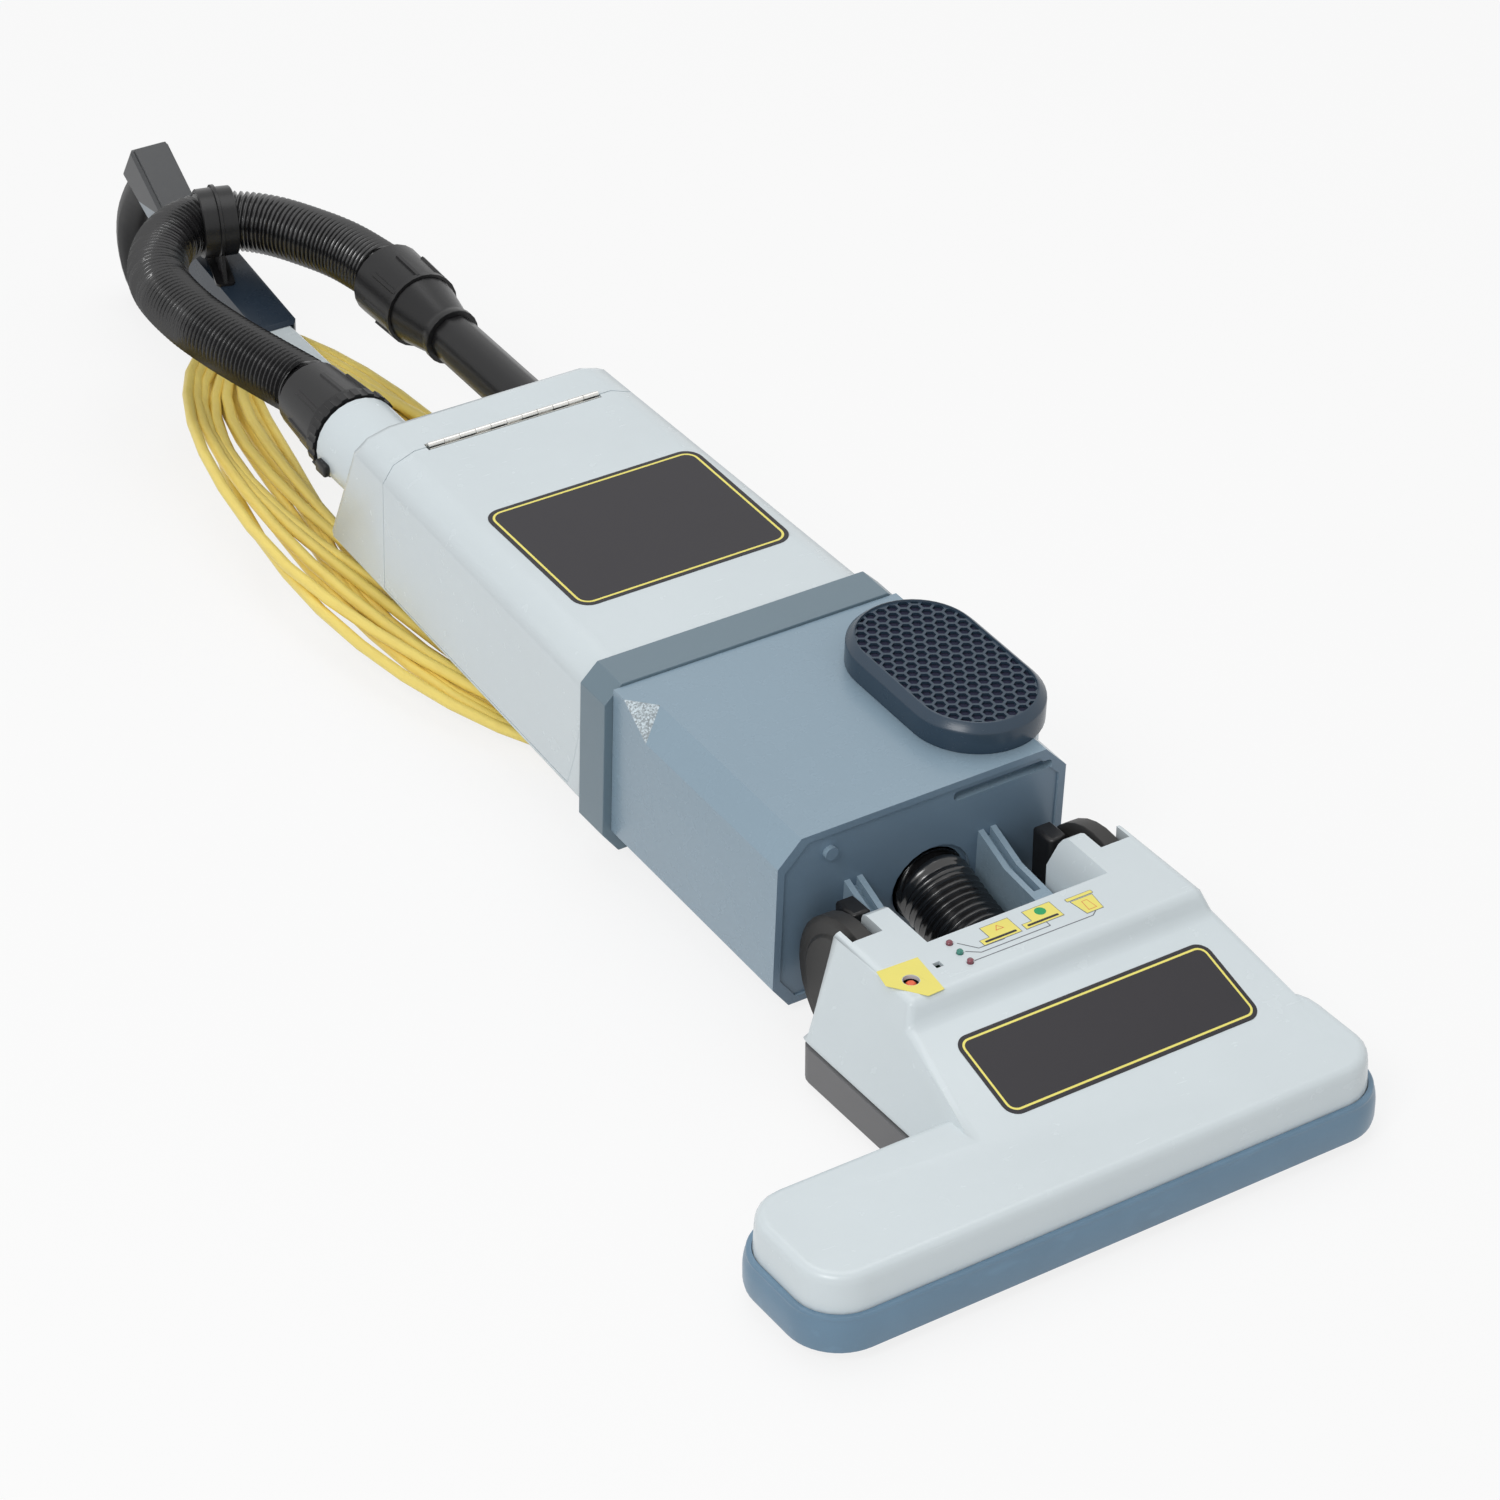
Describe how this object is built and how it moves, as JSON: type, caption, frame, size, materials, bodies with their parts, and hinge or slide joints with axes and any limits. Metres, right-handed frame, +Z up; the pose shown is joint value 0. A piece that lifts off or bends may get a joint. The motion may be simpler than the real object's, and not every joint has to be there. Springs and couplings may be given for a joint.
{
  "type": "upright vacuum cleaner",
  "caption": "Commercial upright vacuum cleaner with a wide powered brush head, a reclining body with a hinged bag door, a stretch hose with wand, a loop handle and a wound cord.",
  "frame": {"origin": "on the floor, under the middle of the machine as it lies reclined, cord aside", "axes": "+X to the right of the nozzle seen from above with the handle away, +Y from the nozzle's front to the grip, +Z up"},
  "size_m": [0.4, 1.3438, 0.1614],
  "materials": {
    "grey_shell": "satin moulded plastic, light grey",
    "blue_grey_shell": "satin moulded plastic, blue-grey",
    "band": "satin moulded plastic, dark blue-grey",
    "bumper": "matt blue bumper rubber",
    "navy": "satin moulded plastic, dark navy",
    "sleeve": "satin moulded plastic, dark blue",
    "base_grey": "matt moulded plastic, mid grey",
    "wheel": "matt dark grey wheel",
    "black_plastic": "matt black plastic",
    "black_rubber": "matt black rubber",
    "hose": "black flexible corrugated plastic",
    "bristle": "black nylon bristle on a plastic core",
    "steel": "bare steel",
    "nickel": "nickel-plated steel",
    "cord": "yellow cable sheath",
    "paper": "filter paper and card",
    "filter": "white filter fleece",
    "button": "orange-red plastic",
    "lamp_red": "dark red lamp lens",
    "lamp_green": "green lamp lens",
    "board": "green circuit board"
  },
  "bodies": {
    "head": {"bumper": "bumper", "head_cover": "grey_shell", "head_base": "base_grey", "sole_plate": "steel", "brush_bearing_left": "black_plastic", "brush_bearing_right": "black_plastic", "brush_motor": "steel", "drive_belt": "black_rubber", "nozzle_duct": "black_plastic", "axle_left": "steel", "axle_right": "steel", "pivot_pin_left": "steel", "pivot_pin_right": "steel", "pivot_clamp_left": "black_plastic", "pivot_clamp_right": "black_plastic", "reset_breaker": "black_plastic", "brush_lamp": "lamp_red", "power_lamp": "lamp_green", "bag_lamp": "lamp_red", "indicator_board": "board", "neck_hose": "hose"},
    "main_body": {"motor_housing": "blue_grey_shell", "collar_band": "band", "riser_duct": "black_plastic", "motor_bulkhead": "black_plastic", "suction_motor": "steel", "motor_mount": "black_rubber", "exhaust_cover": "navy", "exhaust_filter": "filter", "bag_housing": "grey_shell", "hinge_leaf_fixed": "nickel", "bag_collar": "paper", "filter_bag": "paper", "port_cuff": "black_plastic", "stretch_hose": "hose", "wand_cuff": "black_plastic", "wand_adapter": "black_plastic", "wand": "black_plastic", "handle_stem": "grey_shell", "handle_sleeve": "sleeve", "handle_shell": "grey_shell", "handle_face": "black_plastic", "handle_grip": "black_rubber", "hose_clip": "black_plastic", "cord_hank": "cord", "cord_hook_upper": "black_plastic", "cord_hook_lower": "black_plastic", "strain_relief": "black_rubber", "cord_lead": "cord", "plug": "cord", "cord_tail": "cord"},
    "wheel_left": {"wheel_left": "wheel"},
    "wheel_right": {"wheel_right": "wheel"},
    "brush_roll": {"brush_roll": "bristle"},
    "motor_pulley": {"motor_pulley": "steel"},
    "bag_door": {"bag_door": "grey_shell", "hinge_leaf_door": "nickel"},
    "reset_button": {"reset_button": "button"},
    "power_switch": {"power_switch": "black_plastic"},
    "release_ring": {"release_ring": "black_plastic"}
  },
  "joints": [
    {"name": "recline", "type": "hinge", "parent": "head", "child": "main_body", "pos_m": [0.06, -0.45432, 0.052], "axis": [1, 0, 0], "range_deg": [0, 86], "deforming": ["neck_hose"]},
    {"name": "wheel_left_spin", "type": "hinge", "parent": "head", "child": "wheel_left", "pos_m": [-0.023, -0.43732, 0.048], "axis": [1, 0, 0], "continuous": true},
    {"name": "wheel_right_spin", "type": "hinge", "parent": "head", "child": "wheel_right", "pos_m": [0.155, -0.43732, 0.048], "axis": [1, 0, 0], "continuous": true},
    {"name": "brush_spin", "type": "hinge", "parent": "head", "child": "brush_roll", "pos_m": [0, -0.62732, 0.026], "axis": [1, 0, 0], "continuous": true},
    {"name": "pulley_spin", "type": "hinge", "parent": "head", "child": "motor_pulley", "pos_m": [0.1739, -0.52232, 0.045], "axis": [1, 0, 0], "continuous": true},
    {"name": "door_swing", "type": "hinge", "parent": "main_body", "child": "bag_door", "pos_m": [0.06, 0.08787, 0.1588], "axis": [-1, 0, 0], "range_deg": [0, 110]},
    {"name": "reset_press", "type": "slide", "parent": "head", "child": "reset_button", "axis": [0, 0, -1], "range_m": [0, 0.0025], "stiffness_N_per_m": 400},
    {"name": "switch_rock", "type": "hinge", "parent": "main_body", "child": "power_switch", "pos_m": [0.0725, 0.59576, 0.10508], "axis": [0, -0.057, 0.9984], "range_deg": [0, 16]},
    {"name": "ring_press", "type": "slide", "parent": "main_body", "child": "release_ring", "axis": [0, -0.9984, -0.057], "range_m": [0, 0.002], "stiffness_N_per_m": 800}
  ],
  "couplings": [
    {"joint": "pulley_spin", "follows": "brush_spin", "ratio": 1.5}
  ]
}
